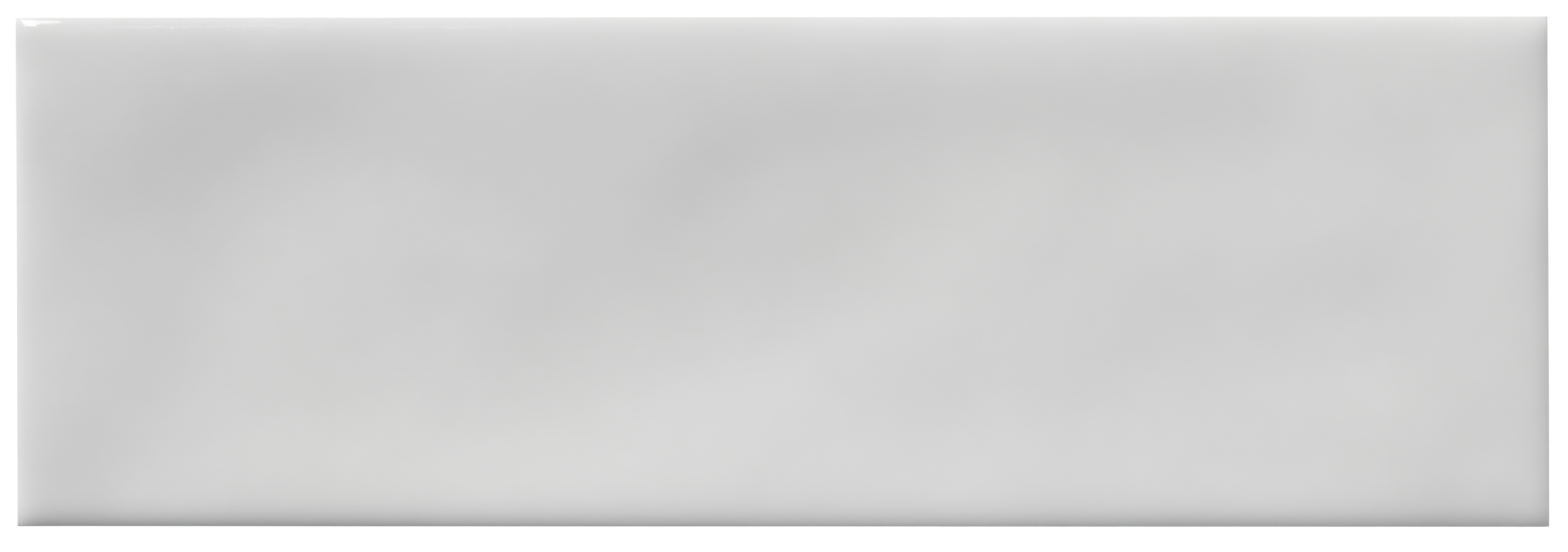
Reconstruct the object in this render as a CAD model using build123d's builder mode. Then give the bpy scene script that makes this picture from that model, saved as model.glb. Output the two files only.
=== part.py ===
from build123d import *
import math
import os

os.makedirs("parts", exist_ok=True)

# One glazed ceramic wall tile, lying on its back with the wavy face up.
# Millimetres, +Z up, +X along the length.  The origin is on the back, at the
# middle of the tile's bounding box.

# ---- outline: four straight sides, a hair out of square ----
CORNER_TL = (-150.24, 49.79)
CORNER_TR = (149.82, 50.085)
CORNER_BR = (150.24, -50.085)
CORNER_BL = (-149.85, -49.93)

# ---- section ----
FACE_LEVEL = 8.8          # height of the face above the back where no swell touches it
ARRIS_RADIUS = 0.2        # rounding where the face turns into the sides
BACK_CHAMFER = 0.4        # bevel around the back

# ---- cushioned edges: how far the face falls at each side, and the distance
# ---- inwards over which that fall fades to a third of itself
TOP_FALL, TOP_FADE = 0.525, 2.9
BOTTOM_FALL, BOTTOM_FADE = 0.645, 1.90
LEFT_FALL, LEFT_FADE = 0.61, 2.0
RIGHT_FALL, RIGHT_FADE = 0.63, 1.9
# how strong each cushion is along its side, 1 being as above: position, strength
TOP_UNEVEN = [(-150, 1.0), (-115, 0.94), (-45, 0.95), (0, 1.03), (62, 1.0), (98, 1.14), (150, 1.04)]
BOTTOM_UNEVEN = [(-150, 0.78), (-144, 1.08), (-90, 1.09), (-60, 0.97), (-20, 0.96), (35, 0.95), (62, 0.98), (88, 1.06), (118, 1.04), (150, 1.19)]
LEFT_UNEVEN = [(-50, 0.87), (-26, 0.93), (0, 1.0), (13, 1.13), (26, 1.44), (40, 1.10), (50, 0.66)]
RIGHT_UNEVEN = [(-50, 1.12), (-26, 1.0), (-13, 0.92), (0, 1.13), (13, 1.01), (26, 1.0), (42, 1.06), (50, 0.55)]

# ---- the waves of the face ----
# centre x, centre y, height (hollows negative), half-length, half-width, heading in degrees
SWELLS = [
    (-152.0, -55.0, 0.80, 6.5, 5.5, 71),
    (-152.0, 24.0, -0.63, 21.0, 5.5, 88),
    (-148.5, 30.0, 0.24, 7.0, 4.0, 83),
    (-147.0, 48.5, 0.155, 5.5, 4.0, -42),
    (-140.0, 40.5, 0.80, 48.0, 15.0, -17),
    (-133.5, -23.0, -0.16, 30.0, 7.0, -78),
    (-127.0, -3.5, 0.49, 48.0, 9.5, 58),
    (-117.0, -43.5, -0.16, 18.5, 7.0, -4),
    (-111.5, -22.0, -0.062, 9.0, 6.0, 62),
    (-111.0, 22.0, -0.80, 14.0, 10.0, 47),
    (-107.0, 14.0, -0.16, 25.0, 13.0, 88),
    (-106.5, 8.5, -0.80, 28.0, 12.5, 33),
    (-103.0, -43.0, 0.22, 17.5, 7.5, 15),
    (-95.5, 27.5, -0.39, 43.0, 10.5, -17),
    (-85.5, -11.5, -0.72, 48.0, 21.5, 13),
    (-82.0, 44.0, 0.065, 21.0, 4.0, -5),
    (-77.5, -41.5, 0.16, 12.0, 8.0, 58),
    (-66.5, -6.0, -0.084, 6.0, 4.0, -68),
    (-66.0, -49.5, 0.10, 18.0, 5.5, 0),
    (-58.0, -48.0, 0.16, 30.0, 11.0, 20),
    (-47.5, -50.5, 0.80, 43.0, 10.5, 0),
    (-37.5, -3.0, -0.048, 15.0, 5.5, 27),
    (-26.5, -4.5, -0.64, 24.0, 11.0, 41),
    (-26.5, 22.0, -0.16, 30.0, 9.5, 18),
    (-26.5, 48.0, 0.56, 46.0, 16.5, 10),
    (-24.0, 16.0, 0.18, 24.0, 7.5, 82),
    (-16.0, 24.5, 0.124, 17.5, 6.0, 15),
    (-6.0, -13.5, -0.68, 23.0, 10.5, 32),
    (3.5, -5.5, 0.037, 16.0, 4.0, 27),
    (10.5, -25.5, -0.096, 8.0, 5.5, -39),
    (17.0, 44.0, 0.094, 8.5, 4.0, 1),
    (19.0, 37.0, 0.42, 28.0, 8.0, 3),
    (23.5, 9.5, -0.49, 47.5, 16.0, 80),
    (30.0, -45.5, -0.16, 30.0, 12.0, 51),
    (37.0, -14.0, 0.16, 19.0, 10.0, -27),
    (47.0, -35.0, 0.124, 8.0, 4.5, -52),
    (49.0, 8.0, 0.16, 9.5, 6.5, 60),
    (65.5, -4.5, 0.112, 25.0, 7.5, 53),
    (78.5, -44.0, 0.75, 48.0, 10.0, 7),
    (85.0, 39.5, 0.53, 25.5, 10.5, -11),
    (86.0, -40.0, -0.16, 14.0, 7.5, -86),
    (97.0, -39.0, -0.32, 28.0, 6.5, 4),
    (99.0, 12.0, -0.80, 48.0, 28.0, 68),
    (100.5, -41.5, -0.156, 30.0, 9.5, 70),
    (102.0, 6.5, 0.51, 21.0, 11.0, 13),
    (102.5, 50.0, -0.129, 27.0, 6.5, 83),
    (120.5, -18.0, -0.16, 30.0, 7.0, -47),
    (141.0, 4.5, 0.16, 30.0, 6.0, -88),
    (144.0, -49.0, -0.206, 4.5, 4.5, 14),
    (145.0, -26.0, -0.61, 48.0, 8.5, 73),
    (147.5, -35.0, -0.204, 18.0, 9.5, 31),
    (147.5, 44.5, -0.198, 12.0, 4.5, -83),
    (148.0, -52.0, 0.171, 15.5, 4.0, -44),
    (150.5, -22.0, 0.18, 12.0, 5.0, 88),
    (152.0, 45.5, 0.155, 7.5, 4.0, 0),
    (153.5, 7.5, 0.80, 45.0, 8.5, 79),
    (155.0, 50.0, 0.22, 48.0, 8.0, 26),
]

# ---- how finely the face is described ----
OVERRUN = 3.0             # the face is drawn this far past the outline, then trimmed
NEAR_EDGE_STEP = 1.2
NEAR_EDGE_BAND = 10.2
INNER_STEP = 3.0


def wave_height(x, y):
    total = 0.0
    for cx, cy, height, half_length, half_width, heading in SWELLS:
        c = math.cos(math.radians(heading))
        s = math.sin(math.radians(heading))
        along = (c * (x - cx) + s * (y - cy)) / half_length
        across = (c * (y - cy) - s * (x - cx)) / half_width
        total += height * math.exp(-0.5 * (along * along + across * across))
    return total


def edge_fall(inset, fall, fade):
    """Steepest at the edge and fading inwards; carried on straight past the edge."""
    if inset < 0.0:
        return fall * (1.0 - inset / fade)
    return fall * math.exp(-inset / fade)


def strength(at, table):
    """A cushion's strength along its side, eased from one station to the next."""
    value = table[0][1]
    for (a, u), (b, v) in zip(table, table[1:]):
        s = min(max((at - a) / (b - a), 0.0), 1.0)
        value += (v - u) * s * s * (3.0 - 2.0 * s)
    return value


def stations(half):
    """Distances from the middle line: close together near the edge, wider inside."""
    near = int(round((NEAR_EDGE_BAND + OVERRUN) / NEAR_EDGE_STEP))
    outer = [half + OVERRUN - NEAR_EDGE_STEP * i for i in range(near + 1)]
    inner_half = outer[-1]
    count = int(math.ceil(2 * inner_half / INNER_STEP))
    inner = [-inner_half + 2 * inner_half * i / count for i in range(1, count)]
    return [-v for v in outer] + inner + outer[::-1]


HALF_LENGTH = 150.04
HALF_WIDTH = 49.97


def face_point(p, q):
    """p, q are distances along the length and the width of an even rectangle."""
    a = (p / HALF_LENGTH + 1.0) / 2.0
    b = (q / HALF_WIDTH + 1.0) / 2.0
    low_x = CORNER_BL[0] + a * (CORNER_BR[0] - CORNER_BL[0])
    low_y = CORNER_BL[1] + a * (CORNER_BR[1] - CORNER_BL[1])
    high_x = CORNER_TL[0] + a * (CORNER_TR[0] - CORNER_TL[0])
    high_y = CORNER_TL[1] + a * (CORNER_TR[1] - CORNER_TL[1])
    x = low_x + b * (high_x - low_x)
    y = low_y + b * (high_y - low_y)
    z = FACE_LEVEL + wave_height(x, y)
    z -= edge_fall(HALF_WIDTH - q, TOP_FALL, TOP_FADE) * strength(p, TOP_UNEVEN)
    z -= edge_fall(HALF_WIDTH + q, BOTTOM_FALL, BOTTOM_FADE) * strength(p, BOTTOM_UNEVEN)
    z -= edge_fall(HALF_LENGTH + p, LEFT_FALL, LEFT_FADE) * strength(q, LEFT_UNEVEN)
    z -= edge_fall(HALF_LENGTH - p, RIGHT_FALL, RIGHT_FADE) * strength(q, RIGHT_UNEVEN)
    return Vector(x, y, z)


wavy_face = Face.make_surface_from_array_of_points(
    [[face_point(p, q) for q in stations(HALF_WIDTH)] for p in stations(HALF_LENGTH)],
    tol=0.005,
)

with BuildPart() as field_tile:
    with BuildSketch(Plane.XY):
        with BuildLine():
            Polyline(CORNER_BL, CORNER_BR, CORNER_TR, CORNER_TL, close=True)
        make_face()
    extrude(amount=FACE_LEVEL + 6.0)
    # the wavy face trims the block
    split(bisect_by=wavy_face, keep=Keep.BOTTOM)
    # round the four arrises of the face, bevel the back
    face_top = field_tile.faces().sort_by(Axis.Z)[-1]
    fillet(face_top.edges(), radius=ARRIS_RADIUS)
    chamfer(field_tile.faces().sort_by(Axis.Z)[0].edges(), length=BACK_CHAMFER)

field_tile.part.label = "field_tile"
export_step(field_tile.part, "parts/field_tile.step")
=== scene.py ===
import math

import bpy
import numpy as np
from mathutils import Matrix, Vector


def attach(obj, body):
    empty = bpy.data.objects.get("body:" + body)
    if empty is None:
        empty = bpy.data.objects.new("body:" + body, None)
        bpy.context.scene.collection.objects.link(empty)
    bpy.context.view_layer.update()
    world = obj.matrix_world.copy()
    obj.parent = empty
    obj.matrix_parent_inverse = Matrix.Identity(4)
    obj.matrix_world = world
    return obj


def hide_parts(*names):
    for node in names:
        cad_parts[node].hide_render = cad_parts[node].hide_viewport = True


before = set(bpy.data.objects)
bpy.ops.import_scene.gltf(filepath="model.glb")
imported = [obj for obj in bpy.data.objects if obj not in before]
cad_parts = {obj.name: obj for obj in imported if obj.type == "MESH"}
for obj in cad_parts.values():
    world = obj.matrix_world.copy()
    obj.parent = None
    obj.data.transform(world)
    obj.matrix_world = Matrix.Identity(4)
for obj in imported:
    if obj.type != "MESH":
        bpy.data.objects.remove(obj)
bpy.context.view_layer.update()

# ---------------------------------------------------------------------------
# The tile's shape, in millimetres, as the part's source has it.
# ---------------------------------------------------------------------------
CORNER_TL = (-150.24, 49.79)
CORNER_TR = (149.82, 50.085)
CORNER_BR = (150.24, -50.085)
CORNER_BL = (-149.85, -49.93)
HALF_LENGTH = 150.04
HALF_WIDTH = 49.97
FACE_LEVEL = 8.78        # a hair under the part's own level, so the finer mesh stays inside its box
ARRIS_RADIUS = 0.2
BACK_CHAMFER = 0.4
# fall of the face at each side, and how far in it fades by a factor of e
TOP_FALL, TOP_FADE = 0.525, 2.9
BOTTOM_FALL, BOTTOM_FADE = 0.645, 1.90
LEFT_FALL, LEFT_FADE = 0.61, 2.0
RIGHT_FALL, RIGHT_FADE = 0.63, 1.9
# how strong each cushion is along its side, 1 being as above: position, strength
TOP_UNEVEN = [(-150, 1.0), (-115, 0.94), (-45, 0.95), (0, 1.03), (62, 1.0), (98, 1.14), (150, 1.04)]
BOTTOM_UNEVEN = [(-150, 0.78), (-144, 1.08), (-90, 1.09), (-60, 0.97), (-20, 0.96), (35, 0.95), (62, 0.98), (88, 1.06), (118, 1.04), (150, 1.19)]
LEFT_UNEVEN = [(-50, 0.87), (-26, 0.93), (0, 1.0), (13, 1.13), (26, 1.44), (40, 1.10), (50, 0.66)]
RIGHT_UNEVEN = [(-50, 1.12), (-26, 1.0), (-13, 0.92), (0, 1.13), (13, 1.01), (26, 1.0), (42, 1.06), (50, 0.55)]
# centre x, centre y, height, half-length, half-width, heading in degrees
SWELLS = [
    (-152.0, -55.0, 0.80, 6.5, 5.5, 71),
    (-152.0, 24.0, -0.63, 21.0, 5.5, 88),
    (-148.5, 30.0, 0.24, 7.0, 4.0, 83),
    (-147.0, 48.5, 0.155, 5.5, 4.0, -42),
    (-140.0, 40.5, 0.80, 48.0, 15.0, -17),
    (-133.5, -23.0, -0.16, 30.0, 7.0, -78),
    (-127.0, -3.5, 0.49, 48.0, 9.5, 58),
    (-117.0, -43.5, -0.16, 18.5, 7.0, -4),
    (-111.5, -22.0, -0.062, 9.0, 6.0, 62),
    (-111.0, 22.0, -0.80, 14.0, 10.0, 47),
    (-107.0, 14.0, -0.16, 25.0, 13.0, 88),
    (-106.5, 8.5, -0.80, 28.0, 12.5, 33),
    (-103.0, -43.0, 0.22, 17.5, 7.5, 15),
    (-95.5, 27.5, -0.39, 43.0, 10.5, -17),
    (-85.5, -11.5, -0.72, 48.0, 21.5, 13),
    (-82.0, 44.0, 0.065, 21.0, 4.0, -5),
    (-77.5, -41.5, 0.16, 12.0, 8.0, 58),
    (-66.5, -6.0, -0.084, 6.0, 4.0, -68),
    (-66.0, -49.5, 0.10, 18.0, 5.5, 0),
    (-58.0, -48.0, 0.16, 30.0, 11.0, 20),
    (-47.5, -50.5, 0.80, 43.0, 10.5, 0),
    (-37.5, -3.0, -0.048, 15.0, 5.5, 27),
    (-26.5, -4.5, -0.64, 24.0, 11.0, 41),
    (-26.5, 22.0, -0.16, 30.0, 9.5, 18),
    (-26.5, 48.0, 0.56, 46.0, 16.5, 10),
    (-24.0, 16.0, 0.18, 24.0, 7.5, 82),
    (-16.0, 24.5, 0.124, 17.5, 6.0, 15),
    (-6.0, -13.5, -0.68, 23.0, 10.5, 32),
    (3.5, -5.5, 0.037, 16.0, 4.0, 27),
    (10.5, -25.5, -0.096, 8.0, 5.5, -39),
    (17.0, 44.0, 0.094, 8.5, 4.0, 1),
    (19.0, 37.0, 0.42, 28.0, 8.0, 3),
    (23.5, 9.5, -0.49, 47.5, 16.0, 80),
    (30.0, -45.5, -0.16, 30.0, 12.0, 51),
    (37.0, -14.0, 0.16, 19.0, 10.0, -27),
    (47.0, -35.0, 0.124, 8.0, 4.5, -52),
    (49.0, 8.0, 0.16, 9.5, 6.5, 60),
    (65.5, -4.5, 0.112, 25.0, 7.5, 53),
    (78.5, -44.0, 0.75, 48.0, 10.0, 7),
    (85.0, 39.5, 0.53, 25.5, 10.5, -11),
    (86.0, -40.0, -0.16, 14.0, 7.5, -86),
    (97.0, -39.0, -0.32, 28.0, 6.5, 4),
    (99.0, 12.0, -0.80, 48.0, 28.0, 68),
    (100.5, -41.5, -0.156, 30.0, 9.5, 70),
    (102.0, 6.5, 0.51, 21.0, 11.0, 13),
    (102.5, 50.0, -0.129, 27.0, 6.5, 83),
    (120.5, -18.0, -0.16, 30.0, 7.0, -47),
    (141.0, 4.5, 0.16, 30.0, 6.0, -88),
    (144.0, -49.0, -0.206, 4.5, 4.5, 14),
    (145.0, -26.0, -0.61, 48.0, 8.5, 73),
    (147.5, -35.0, -0.204, 18.0, 9.5, 31),
    (147.5, 44.5, -0.198, 12.0, 4.5, -83),
    (148.0, -52.0, 0.171, 15.5, 4.0, -44),
    (150.5, -22.0, 0.18, 12.0, 5.0, 88),
    (152.0, 45.5, 0.155, 7.5, 4.0, 0),
    (153.5, 7.5, 0.80, 45.0, 8.5, 79),
    (155.0, 50.0, 0.22, 48.0, 8.0, 26),
]


# Finish of the visible mesh
CORNER_ROUND = 0.22       # plan radius of the four upright corners
GLAZE_EDGE = 5.3          # mean height of the glaze's lower edge on the sides
GLAZE_THICK = 0.13        # the bare body stands this far inside the glaze
INNER_STEP = 0.85


def wave_height(x, y):
    total = np.zeros_like(x)
    for cx, cy, height, half_length, half_width, heading in SWELLS:
        c = math.cos(math.radians(heading))
        s = math.sin(math.radians(heading))
        along = (c * (x - cx) + s * (y - cy)) / half_length
        across = (c * (y - cy) - s * (x - cx)) / half_width
        total += height * np.exp(-0.5 * (along * along + across * across))
    return total


def edge_fall(inset, fall, fade):
    return fall * np.exp(-np.maximum(inset, 0.0) / fade)


def strength(at, table):
    """A cushion's strength along its side, eased from one station to the next."""
    value = np.full_like(at, table[0][1])
    for (a, u), (b, v) in zip(table, table[1:]):
        s = np.clip((at - a) / (b - a), 0.0, 1.0)
        value += (v - u) * s * s * (3.0 - 2.0 * s)
    return value


def to_plan(p, q):
    """Even rectangle to the tile's slightly out-of-square outline."""
    a = (p / HALF_LENGTH + 1.0) / 2.0
    b = (q / HALF_WIDTH + 1.0) / 2.0
    x = (1 - b) * ((1 - a) * CORNER_BL[0] + a * CORNER_BR[0]) + b * ((1 - a) * CORNER_TL[0] + a * CORNER_TR[0])
    y = (1 - b) * ((1 - a) * CORNER_BL[1] + a * CORNER_BR[1]) + b * ((1 - a) * CORNER_TL[1] + a * CORNER_TR[1])
    return x, y


def raw_face(p, q):
    """Height of the face before its arris is rounded."""
    x, y = to_plan(p, q)
    z = FACE_LEVEL + wave_height(x, y)
    z = z - edge_fall(HALF_WIDTH - q, TOP_FALL, TOP_FADE) * strength(p, TOP_UNEVEN)
    z = z - edge_fall(HALF_WIDTH + q, BOTTOM_FALL, BOTTOM_FADE) * strength(p, BOTTOM_UNEVEN)
    z = z - edge_fall(HALF_LENGTH + p, LEFT_FALL, LEFT_FADE) * strength(q, LEFT_UNEVEN)
    z = z - edge_fall(HALF_LENGTH - p, RIGHT_FALL, RIGHT_FADE) * strength(q, RIGHT_UNEVEN)
    return z


def arris_cut(inset, slope):
    """What a rounding tangent to the side and to a face rising inwards at `slope` takes off."""
    r = ARRIS_RADIUS
    tilt = np.arctan(slope)
    start = r * (1.0 - np.sin(tilt))
    d = np.clip(inset, 0.0, r)
    cut = slope * (d - start) + r * np.cos(tilt) - np.sqrt(np.maximum(r * r - (r - d) ** 2, 0.0))
    return np.where(inset < start, np.maximum(cut, 0.0), 0.0)


def face_height(p, q):
    z = raw_face(p, q)
    step = 0.05
    near = 0.35
    zero_p, zero_q = np.zeros_like(p), np.zeros_like(q)
    edge_l, edge_r = zero_p - HALF_LENGTH + near, zero_p + HALF_LENGTH - near
    edge_b, edge_t = zero_q - HALF_WIDTH + near, zero_q + HALF_WIDTH - near
    slope_l = (raw_face(edge_l + step, q) - raw_face(edge_l - step, q)) / (2 * step)
    slope_r = (raw_face(edge_r - step, q) - raw_face(edge_r + step, q)) / (2 * step)
    slope_b = (raw_face(p, edge_b + step) - raw_face(p, edge_b - step)) / (2 * step)
    slope_t = (raw_face(p, edge_t - step) - raw_face(p, edge_t + step)) / (2 * step)
    along = np.maximum(arris_cut(HALF_LENGTH + p, slope_l), arris_cut(HALF_LENGTH - p, slope_r))
    across = np.maximum(arris_cut(HALF_WIDTH + q, slope_b), arris_cut(HALF_WIDTH - q, slope_t))
    return z - (along ** 3 + across ** 3) ** (1.0 / 3.0)


def stations(half):
    """Along one direction: crowded over the arris, then the cushion, then even."""
    arris = [ARRIS_RADIUS * (1.0 - math.sin(math.radians(a))) for a in (90, 81, 72, 63, 54, 45, 36, 27)]
    cushion = [0.19, 0.32, 0.5, 0.7, 0.92, 1.2, 1.55, 1.95, 2.4, 2.9, 3.5, 4.1, 4.8, 5.5, 6.3, 7.1, 7.9, 8.7]
    outer = [half - d for d in arris + cushion]
    count = int(round(2 * outer[-1] / INNER_STEP))
    inner = list(np.linspace(-outer[-1], outer[-1], count + 1)[1:-1])
    return np.array([-v for v in outer] + inner + outer[::-1])


def round_corner(p, q):
    """Softens the four upright corners in plan."""
    u = np.clip((np.abs(p) - (HALF_LENGTH - CORNER_ROUND)) / CORNER_ROUND, 0.0, 1.0)
    v = np.clip((np.abs(q) - (HALF_WIDTH - CORNER_ROUND)) / CORNER_ROUND, 0.0, 1.0)
    uu = u * np.sqrt(1.0 - v * v / 2.0)
    vv = v * np.sqrt(1.0 - u * u / 2.0)
    rp = np.where(u > 0, np.sign(p) * (HALF_LENGTH - CORNER_ROUND + CORNER_ROUND * uu), p)
    rq = np.where(v > 0, np.sign(q) * (HALF_WIDTH - CORNER_ROUND + CORNER_ROUND * vv), q)
    return rp, rq


UV_SCALE = 0.96 / 300.4   # of the square layout, for each millimetre


def layout(x, y, low_v):
    return np.column_stack([0.02 + (x + 150.2) * UV_SCALE, low_v + (y + 49.95) * UV_SCALE])


def build_tile():
    ps, qs = stations(HALF_LENGTH), stations(HALF_WIDTH)
    n_p, n_q = len(ps), len(qs)
    P, Q = np.meshgrid(ps, qs, indexing="ij")
    Z = face_height(P, Q)
    RP, RQ = round_corner(P, Q)
    X, Y = to_plan(RP, RQ)
    verts = [np.column_stack([X.ravel(), Y.ravel(), Z.ravel()])]
    index = np.arange(n_p * n_q).reshape(n_p, n_q)
    faces = []
    mats = []
    a, b, c, d = index[:-1, :-1], index[1:, :-1], index[1:, 1:], index[:-1, 1:]
    quads = np.stack([a, b, c, d], axis=-1).reshape(-1, 4)
    faces.extend(quads.tolist())
    mats.extend([0] * len(quads))
    # flat layout of the surface: face, back and four side strips, all at one scale
    flat = [layout(verts[0][quads.ravel(), 0], verts[0][quads.ravel(), 1], 0.02)]

    # the rim, counter-clockwise seen from above
    rim = np.concatenate([index[:, 0], index[-1, 1:], index[-2::-1, -1], index[0, -2:0:-1]])
    top = verts[0][rim]
    n = len(rim)
    rp, rq = P.ravel()[rim], Q.ravel()[rim]
    # distance along the rim drives the glaze's uneven lower edge
    step = np.linalg.norm(np.roll(top, -1, axis=0)[:, :2] - top[:, :2], axis=1)
    run = np.concatenate([[0.0], np.cumsum(step)[:-1]])
    turn = 2.0 * math.pi * run / step.sum()
    wander = (0.22 * np.sin(7 * turn + 0.6) + 0.17 * np.sin(13 * turn + 2.1) + 0.12 * np.sin(29 * turn + 4.4)
              + 0.07 * np.sin(61 * turn + 1.3) + 0.04 * np.sin(127 * turn + 5.2))
    line = GLAZE_EDGE + wander
    rows = []

    def ring(z, inset):
        kp = rp * (HALF_LENGTH - inset) / HALF_LENGTH
        kq = rq * (HALF_WIDTH - inset) / HALF_WIDTH
        cp, cq = round_corner(kp * HALF_LENGTH / (HALF_LENGTH - inset), kq * HALF_WIDTH / (HALF_WIDTH - inset))
        x, y = to_plan(cp * (HALF_LENGTH - inset) / HALF_LENGTH, cq * (HALF_WIDTH - inset) / HALF_WIDTH)
        rows.append(np.column_stack([x, y, z * np.ones(n)]))

    upper = top[:, 2]
    for share in (0.25, 0.5, 0.75):
        ring(upper + share * (line + 0.55 - upper), 0.0)
    ring(line + 0.55, 0.0)
    ring(line + 0.25, 0.0)
    ring(line + 0.08, 0.015)
    ring(line, 0.06)
    glaze_rows = len(rows)
    ring(line - 0.03, GLAZE_THICK)
    ring(line - 0.5, GLAZE_THICK)
    ring((line - 0.5 + BACK_CHAMFER) / 2.0, GLAZE_THICK)
    ring(BACK_CHAMFER, GLAZE_THICK)
    ring(BACK_CHAMFER * 0.3, GLAZE_THICK + BACK_CHAMFER * 0.28)
    ring(0.0, GLAZE_THICK + BACK_CHAMFER)
    loops = [rim]
    base = n_p * n_q
    for k, row in enumerate(rows):
        verts.append(row)
        loops.append(np.arange(base + k * n, base + (k + 1) * n))
    along = [top[:n_p, 0], top[n_p - 1:n_p + n_q - 1, 1], -top[n_p + n_q - 2:2 * n_p + n_q - 2, 0],
             -np.append(top[2 * n_p + n_q - 3:, 1], top[0, 1])]
    strip_at = [(0.02, 0.70, 150.2), (0.02, 0.80, 49.95), (0.02, 0.75, 150.2), (0.40, 0.80, 49.95)]
    start_u = np.concatenate([u0 + (s[:-1] + half) * UV_SCALE for s, (u0, v0, half) in zip(along, strip_at)])
    end_u = np.concatenate([u0 + (s[1:] + half) * UV_SCALE for s, (u0, v0, half) in zip(along, strip_at)])
    base_v = np.concatenate([np.full(len(s) - 1, v0) for s, (u0, v0, half) in zip(along, strip_at)])
    down = np.zeros(n)
    above = top
    for k in range(len(rows)):
        upper_loop, lower_loop = loops[k], loops[k + 1]
        further = down + np.linalg.norm(rows[k] - above, axis=1)
        v_up, v_low = base_v + (11.0 - down) * UV_SCALE, base_v + (11.0 - further) * UV_SCALE
        v_up_next = base_v + (11.0 - np.roll(down, -1)) * UV_SCALE
        v_low_next = base_v + (11.0 - np.roll(further, -1)) * UV_SCALE
        flat.append(np.stack([np.column_stack([start_u, v_up]), np.column_stack([start_u, v_low]),
                              np.column_stack([end_u, v_low_next]), np.column_stack([end_u, v_up_next])], axis=1).reshape(-1, 2))
        down, above = further, rows[k]
        quads = np.stack([upper_loop, lower_loop, np.roll(lower_loop, -1), np.roll(upper_loop, -1)], axis=-1)
        faces.extend(quads.tolist())
        mats.extend([0 if k < glaze_rows else 1] * n)
    # the back: long strips across the width, one closing face at each end
    last = loops[-1]
    low = last[:n_p]
    right = last[n_p - 1:n_p - 1 + n_q]
    high = last[n_p - 1 + n_q - 1:n_p - 1 + n_q - 1 + n_p][::-1]
    left = np.concatenate([last[2 * n_p + n_q - 3:], last[:1]])[::-1]
    back_faces = [[int(low[i]), int(high[i]), int(high[i + 1]), int(low[i + 1])] for i in range(1, n_p - 2)]
    back_faces.append([int(v) for v in left] + [int(high[1]), int(low[1])])
    back_faces.append([int(v) for v in right[::-1]] + [int(low[-2]), int(high[-2])])
    faces.extend(back_faces)
    mats.extend([1] * len(back_faces))

    points = np.concatenate(verts)
    corners = np.concatenate([np.array(f) for f in back_faces])
    flat.append(layout(-points[corners, 0], points[corners, 1], 0.36))
    co = points / 1000.0
    mesh = bpy.data.meshes.new("tile_glazed")
    mesh.from_pydata(co.tolist(), [], faces)
    mesh.polygons.foreach_set("material_index", np.array(mats, dtype=np.int32))
    mesh.polygons.foreach_set("use_smooth", np.ones(len(faces), dtype=bool))
    mesh.uv_layers.new(name="OFBake").data.foreach_set("uv", np.concatenate(flat).astype(np.float32).ravel())
    mesh.validate()
    mesh.update()
    mesh.set_sharp_from_angle(angle=math.radians(40))
    return mesh


# ---------------------------------------------------------------------------
# Materials
# ---------------------------------------------------------------------------
def new_material(name):
    mat = bpy.data.materials.new(name)
    mat.use_nodes = True
    nt = mat.node_tree
    return mat, nt, nt.nodes["Principled BSDF"]


def add(nt, kind, **inputs):
    node = nt.nodes.new(kind)
    for key, value in inputs.items():
        node.inputs[key.replace("_", " ")].default_value = value
    return node


def noise(nt, coords, scale, detail, rough, distortion=0.0):
    node = add(nt, "ShaderNodeTexNoise", Scale=scale, Detail=detail, Roughness=rough, Distortion=distortion)
    nt.links.new(coords, node.inputs["Vector"])
    return node


def ramp(nt, source, stops):
    node = nt.nodes.new("ShaderNodeValToRGB")
    elements = node.color_ramp.elements
    while len(elements) < len(stops):
        elements.new(0.5)
    for element, (at, colour) in zip(elements, stops):
        element.position = at
        element.color = colour
    nt.links.new(source, node.inputs["Fac"])
    return node


def glaze_material():
    mat, nt, bsdf = new_material("glaze_pale_grey")
    coords = nt.nodes.new("ShaderNodeTexCoord").outputs["Object"]
    clouds = noise(nt, coords, 16.0, 3.0, 0.5)
    tone = ramp(nt, clouds.outputs["Fac"], [(0.30, (0.634, 0.6315, 0.6275, 1)), (0.70, (0.656, 0.6545, 0.6537, 1))])
    mottle = noise(nt, coords, 150.0, 4.0, 0.55)
    fine = ramp(nt, mottle.outputs["Fac"], [(0.3, (0.985, 0.985, 0.984, 1)), (0.7, (1.0, 1.0, 1.0, 1))])
    mix = nt.nodes.new("ShaderNodeMix")
    mix.data_type = "RGBA"
    mix.blend_type = "MULTIPLY"
    mix.inputs["Factor"].default_value = 1.0
    nt.links.new(tone.outputs["Color"], mix.inputs["A"])
    nt.links.new(fine.outputs["Color"], mix.inputs["B"])
    nt.links.new(mix.outputs["Result"], bsdf.inputs["Base Color"])
    gloss = noise(nt, coords, 60.0, 3.0, 0.5)
    rough = nt.nodes.new("ShaderNodeMapRange")
    rough.inputs["From Min"].default_value = 0.3
    rough.inputs["From Max"].default_value = 0.7
    rough.inputs["To Min"].default_value = 0.045
    rough.inputs["To Max"].default_value = 0.075
    nt.links.new(gloss.outputs["Fac"], rough.inputs["Value"])
    nt.links.new(rough.outputs["Result"], bsdf.inputs["Roughness"])
    peel = noise(nt, coords, 420.0, 2.0, 0.5)
    bump = add(nt, "ShaderNodeBump", Strength=0.10, Distance=0.0002)
    nt.links.new(peel.outputs["Fac"], bump.inputs["Height"])
    nt.links.new(bump.outputs["Normal"], bsdf.inputs["Normal"])
    bsdf.inputs["IOR"].default_value = 1.5
    return mat


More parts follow.
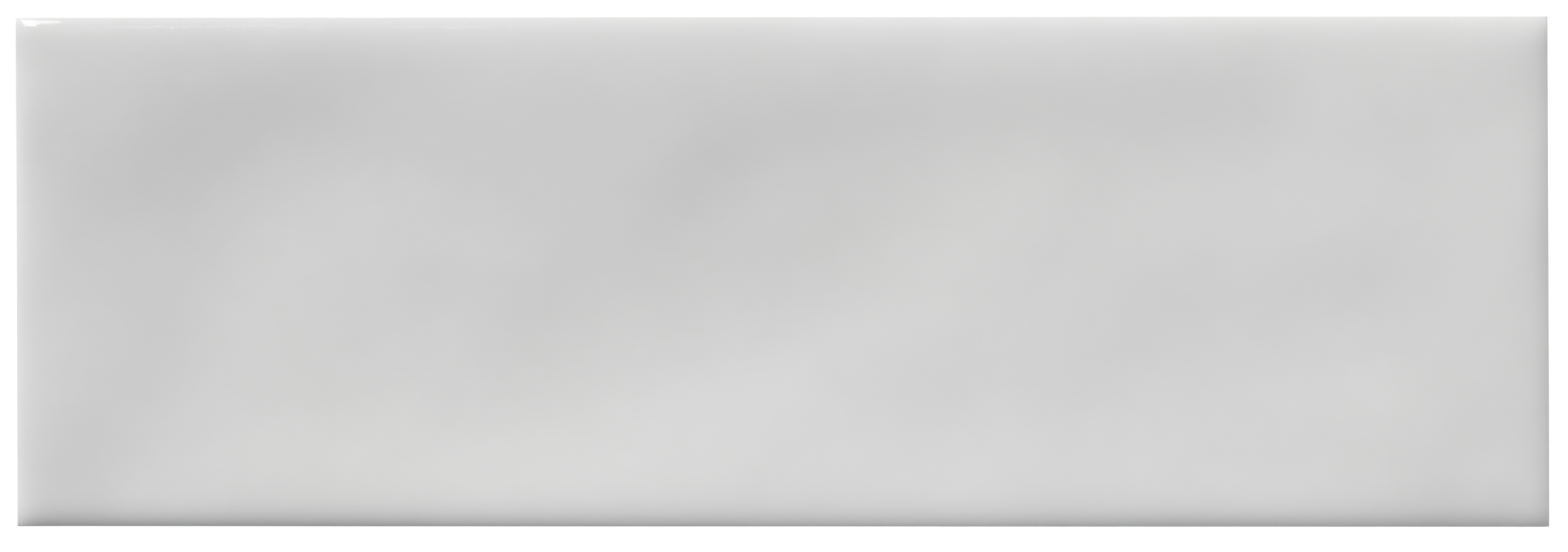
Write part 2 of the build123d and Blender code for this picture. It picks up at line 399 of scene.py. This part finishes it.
def bisque_material():
    mat, nt, bsdf = new_material("bisque_body")
    coords = nt.nodes.new("ShaderNodeTexCoord").outputs["Object"]
    grain = noise(nt, coords, 900.0, 6.0, 0.65)
    tone = ramp(nt, grain.outputs["Fac"], [(0.32, (0.43, 0.365, 0.29, 1)), (0.55, (0.52, 0.455, 0.375, 1)), (0.75, (0.585, 0.525, 0.445, 1))])
    nt.links.new(tone.outputs["Color"], bsdf.inputs["Base Color"])
    bump = add(nt, "ShaderNodeBump", Strength=0.5, Distance=0.0003)
    nt.links.new(grain.outputs["Fac"], bump.inputs["Height"])
    nt.links.new(bump.outputs["Normal"], bsdf.inputs["Normal"])
    bsdf.inputs["Roughness"].default_value = 0.85
    return mat


def floor_material():
    mat, nt, bsdf = new_material("floor_white")
    bsdf.inputs["Base Color"].default_value = (0.85, 0.85, 0.85, 1)
    bsdf.inputs["Roughness"].default_value = 0.9
    bsdf.inputs["Specular IOR Level"].default_value = 0.1
    bsdf.inputs["Emission Color"].default_value = (1, 1, 1, 1)
    bsdf.inputs["Emission Strength"].default_value = 0.75
    return mat


tile = bpy.data.objects.new("tile_glazed", build_tile())
bpy.context.scene.collection.objects.link(tile)
tile.data.materials.append(glaze_material())
tile.data.materials.append(bisque_material())
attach(tile, "root")
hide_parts("field_tile")

# ---------------------------------------------------------------------------
# Floor, light, camera
# ---------------------------------------------------------------------------
floor_mesh = bpy.data.meshes.new("floor")
floor_mesh.from_pydata([(-4, -4, -0.0002), (4, -4, -0.0002), (4, 4, -0.0002), (-4, 4, -0.0002)], [], [(0, 1, 2, 3)])
floor = bpy.data.objects.new("floor", floor_mesh)
floor_mesh.materials.append(floor_material())
bpy.context.scene.collection.objects.link(floor)

scene = bpy.context.scene
scene.view_settings.view_transform = "Standard"


def net_mesh():
    """A low upright net round the two sides that face the keys, ending just under the rim."""
    gap, under, past = 1.2, 0.35, 4.0
    ps, qs = np.linspace(-HALF_LENGTH, HALF_LENGTH, 121), np.linspace(-HALF_WIDTH, HALF_WIDTH, 41)
    side_x, side_y = to_plan(np.full_like(qs, -HALF_LENGTH), qs)
    side_z = face_height(np.full_like(qs, -HALF_LENGTH), qs) - under
    top_x, top_y = to_plan(ps, np.full_like(ps, HALF_WIDTH))
    top_z = face_height(ps, np.full_like(ps, HALF_WIDTH)) - under
    x = np.concatenate([[side_x[0] - gap], side_x - gap, [side_x[-1] - gap], top_x, [top_x[-1] + past]])
    y = np.concatenate([[side_y[0] - past], side_y, [top_y[0] + gap], top_y + gap, [top_y[-1] + gap]])
    z = np.concatenate([[side_z[0]], side_z, [min(side_z[-1], top_z[0])], top_z, [top_z[-1]]])
    n = len(x)
    points = np.concatenate([np.column_stack([x, y, z]), np.column_stack([x, y, np.zeros(n)])]) / 1000.0
    mesh = bpy.data.meshes.new("side_net")
    mesh.from_pydata(points.tolist(), [], [(i, i + 1, n + i + 1, n + i) for i in range(n - 1)])
    return mesh


def net_material():
    mat = bpy.data.materials.new("side_net")
    mat.use_nodes = True
    nt = mat.node_tree
    nt.nodes.remove(nt.nodes["Principled BSDF"])
    clear = nt.nodes.new("ShaderNodeBsdfTransparent")
    clear.inputs["Color"].default_value = (0.25, 0.25, 0.25, 1)
    nt.links.new(clear.outputs["BSDF"], nt.nodes["Material Output"].inputs["Surface"])
    return mat


# dims the keys on the tile's left and far sides, as a studio net does, so that these keep their tone
net = bpy.data.objects.new("side_net", net_mesh())
net.data.materials.append(net_material())
net.visible_camera = False
net.visible_glossy = False
scene.collection.objects.link(net)

world = bpy.data.worlds.new("studio")
scene.world = world
world.use_nodes = True
world.node_tree.nodes["Background"].inputs["Color"].default_value = (1, 1, 1, 1)
world.node_tree.nodes["Background"].inputs["Strength"].default_value = 0.03


def area_light(name, place, aim, width, height, power, colour=(1.0, 1.0, 1.0)):
    """A soft box at `place`, facing `aim`."""
    data = bpy.data.lights.new(name, "AREA")
    data.shape = "RECTANGLE"
    data.size = width
    data.size_y = height
    data.energy = power
    data.color = colour
    ob = bpy.data.objects.new(name, data)
    ob.location = place
    ob.rotation_euler = (Vector(aim) - Vector(place)).to_track_quat("-Z", "Y").to_euler()
    scene.collection.objects.link(ob)
    return ob


key = area_light("key_left", (-1.379, 1.157, 0.50), (0.0, 0.0, 0.50), 1.2, 0.7, 60.8)
key.visible_glossy = False
back = area_light("key_back", (0.466, 1.739, 0.60), (0.0, 0.0, 0.60), 1.2, 0.7, 36.8)
back.visible_glossy = False
fill = area_light("fill", (0.0492, -0.1837, 0.408), (0.0, 0.0, 0.0), 0.2, 0.2, 0.575)
fill.visible_glossy = False
side = area_light("fill_right", (0.5176, -0.0453, 0.30), (0.0, 0.0, 0.0), 0.2, 0.2, 0.48)
side.visible_glossy = False
front = area_light("front_bounce", (0.1, -1.467, 0.31), (0.0, 0.0, 0.0), 0.6, 0.3, 0.54, (0.5, 0.9, 1.6))
front.visible_glossy = False


# soft boxes around the tile that show only as a sheen on the glaze, seen from the side:
# a dim one near the floor and a brighter narrow band above it
for side_name, toward in (("back", (0.0, 1.0)), ("left", (-1.0, 0.0)), ("front", (0.0, -1.0)), ("right", (1.0, 0.0))):
    for kind, level, width, height, radiance in (("low", 0.24, 3.0, 0.40, 0.75), ("band", 0.86, 2.6, 0.26, 2.1)):
        place = (1.9 * toward[0], 1.9 * toward[1], level)
        box = area_light("sheen_%s_%s" % (kind, side_name), place, (0.0, 0.0, level), width, height, math.pi * width * height * radiance)
        box.visible_diffuse = False


def glint_panel(name, centre, size, turn, shape, radiance):
    """A level panel overhead that shows only as a reflection in the glaze."""
    data = bpy.data.lights.new(name, "AREA")
    data.shape = shape
    data.size, data.size_y = size
    area = size[0] * size[1] * (math.pi / 4.0 if shape == "ELLIPSE" else 1.0)
    data.energy = math.pi * area * radiance
    ob = bpy.data.objects.new(name, data)
    ob.location = (centre[0], centre[1], 1.2)
    ob.rotation_euler = (0.0, 0.0, math.radians(turn))
    ob.visible_diffuse = False
    scene.collection.objects.link(ob)
    return ob


glint_panel("glint_end", (-0.545, 0.360), (0.04, 0.18), 21.0, "RECTANGLE", 5.2)
glint_panel("glint_corner", (-0.4446, 0.356), (0.21, 0.155), 10.0, "RECTANGLE", 5.2)
glint_panel("glint_taper", (-0.325, 0.390), (0.245, 0.09), 20.0, "ELLIPSE", 4.8)
glint_panel("glint_line_a", (-0.167, 0.304), (0.014, 0.009), -36.0, "RECTANGLE", 6.5)
glint_panel("glint_line_b", (-0.142, 0.282), (0.016, 0.010), -3.0, "RECTANGLE", 8.0)
glint_panel("glint_line_c", (-0.1075, 0.290), (0.007, 0.012), 0.0, "RECTANGLE", 8.0)

cam_data = bpy.data.cameras.new("camera")
cam_data.sensor_fit = "HORIZONTAL"
cam_data.sensor_width = 36.0
cam_data.lens = 300.0
cam = bpy.data.objects.new("camera", cam_data)
cam.location = (0.000305, -0.000935, 2.5668)
cam.rotation_euler = (0.0, 0.0, 0.0)
scene.collection.objects.link(cam)
scene.camera = cam
